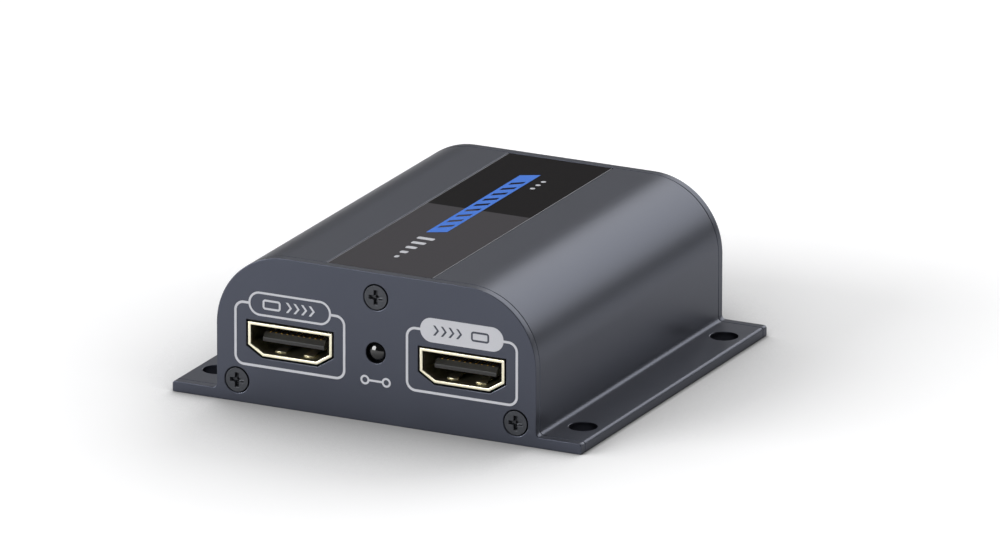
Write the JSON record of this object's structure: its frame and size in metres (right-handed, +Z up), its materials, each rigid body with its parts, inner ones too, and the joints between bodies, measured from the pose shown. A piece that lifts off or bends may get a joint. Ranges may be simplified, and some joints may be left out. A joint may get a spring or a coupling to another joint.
{
  "type": "hdmi extender",
  "caption": "Small video-over-network extender: a flanged aluminium housing with screwed end plates, video sockets in front, network, power and infrared sockets and a reset button behind.",
  "frame": {"origin": "middle of the underside, at the bottom centre of the part's box", "axes": "+X along the unit's width, to the right seen from the front; +Y from the front plate with the video sockets to the rear plate; +Z up"},
  "size_m": [0.0728, 0.0686, 0.0251],
  "materials": {
    "anodised_aluminium": "fine matt blasted and anodised, gunmetal grey",
    "screw_steel": "dark zinc plated, satin",
    "label_film": "smooth black film",
    "print_ink": "light grey printed ink",
    "board_laminate": "solder-masked glass laminate",
    "socket_metal": "bright nickel plate",
    "black_plastic": "moulded, fine matt",
    "contact_gold": "gold flash over copper alloy",
    "tinned_metal": "tinned sheet",
    "dark_lens": "glossy, dark and unlit",
    "red_lens": "glossy, tinted and unlit",
    "jack_light_lens": "diffused light window",
    "button_plastic": "moulded, satin",
    "chip_epoxy": "moulded epoxy",
    "pad_silicone": "soft filled silicone",
    "sink_aluminium": "black anodised",
    "coil_ferrite": "sintered ferrite",
    "can_aluminium": "plain drawn can",
    "ceramic_body": "fired ceramic"
  },
  "bodies": {
    "unit": {"housing": "anodised_aluminium", "front_plate": "anodised_aluminium", "rear_plate": "anodised_aluminium", "front_screws": "screw_steel", "rear_screws": "screw_steel", "top_label": "label_film", "circuit_board": "board_laminate", "video_out_shell": "socket_metal", "video_out_insert": "black_plastic", "video_out_contacts": "contact_gold", "video_in_shell": "socket_metal", "video_in_insert": "black_plastic", "video_in_contacts": "contact_gold", "link_light": "dark_lens", "link_light_holder": "black_plastic", "link_light_legs": "tinned_metal", "network_jack_body": "black_plastic", "network_jack_shield": "tinned_metal", "network_jack_contacts": "contact_gold", "network_jack_lights": "jack_light_lens", "power_jack_body": "black_plastic", "power_jack_pin": "socket_metal", "power_jack_spring": "tinned_metal", "infrared_jack_body": "black_plastic", "infrared_jack_contacts": "contact_gold", "power_light": "red_lens", "power_light_holder": "black_plastic", "power_light_legs": "tinned_metal", "reset_switch_body": "black_plastic", "reset_switch_cover": "tinned_metal", "reset_switch_dome": "tinned_metal", "transmitter_chip": "chip_epoxy", "thermal_pad": "pad_silicone", "heat_sink": "sink_aluminium", "splitter_chip": "chip_epoxy", "memory_chip": "chip_epoxy", "microcontroller": "chip_epoxy", "network_transformer": "chip_epoxy", "transformer_leads": "tinned_metal", "power_inductor": "coil_ferrite", "filter_capacitors": "can_aluminium", "capacitor_bases": "black_plastic", "voltage_regulators": "chip_epoxy", "protection_diode": "chip_epoxy", "crystals": "tinned_metal", "chip_capacitors": "ceramic_body", "chip_resistors": "chip_epoxy"},
    "button": {"reset_button": "button_plastic"}
  },
  "joints": [
    {"name": "reset_press", "type": "slide", "parent": "unit", "child": "button", "axis": [0, -1, 0], "range_m": [0, 0.0003], "stiffness_N_per_m": 5300, "deforming": ["reset_switch_dome"]}
  ]
}
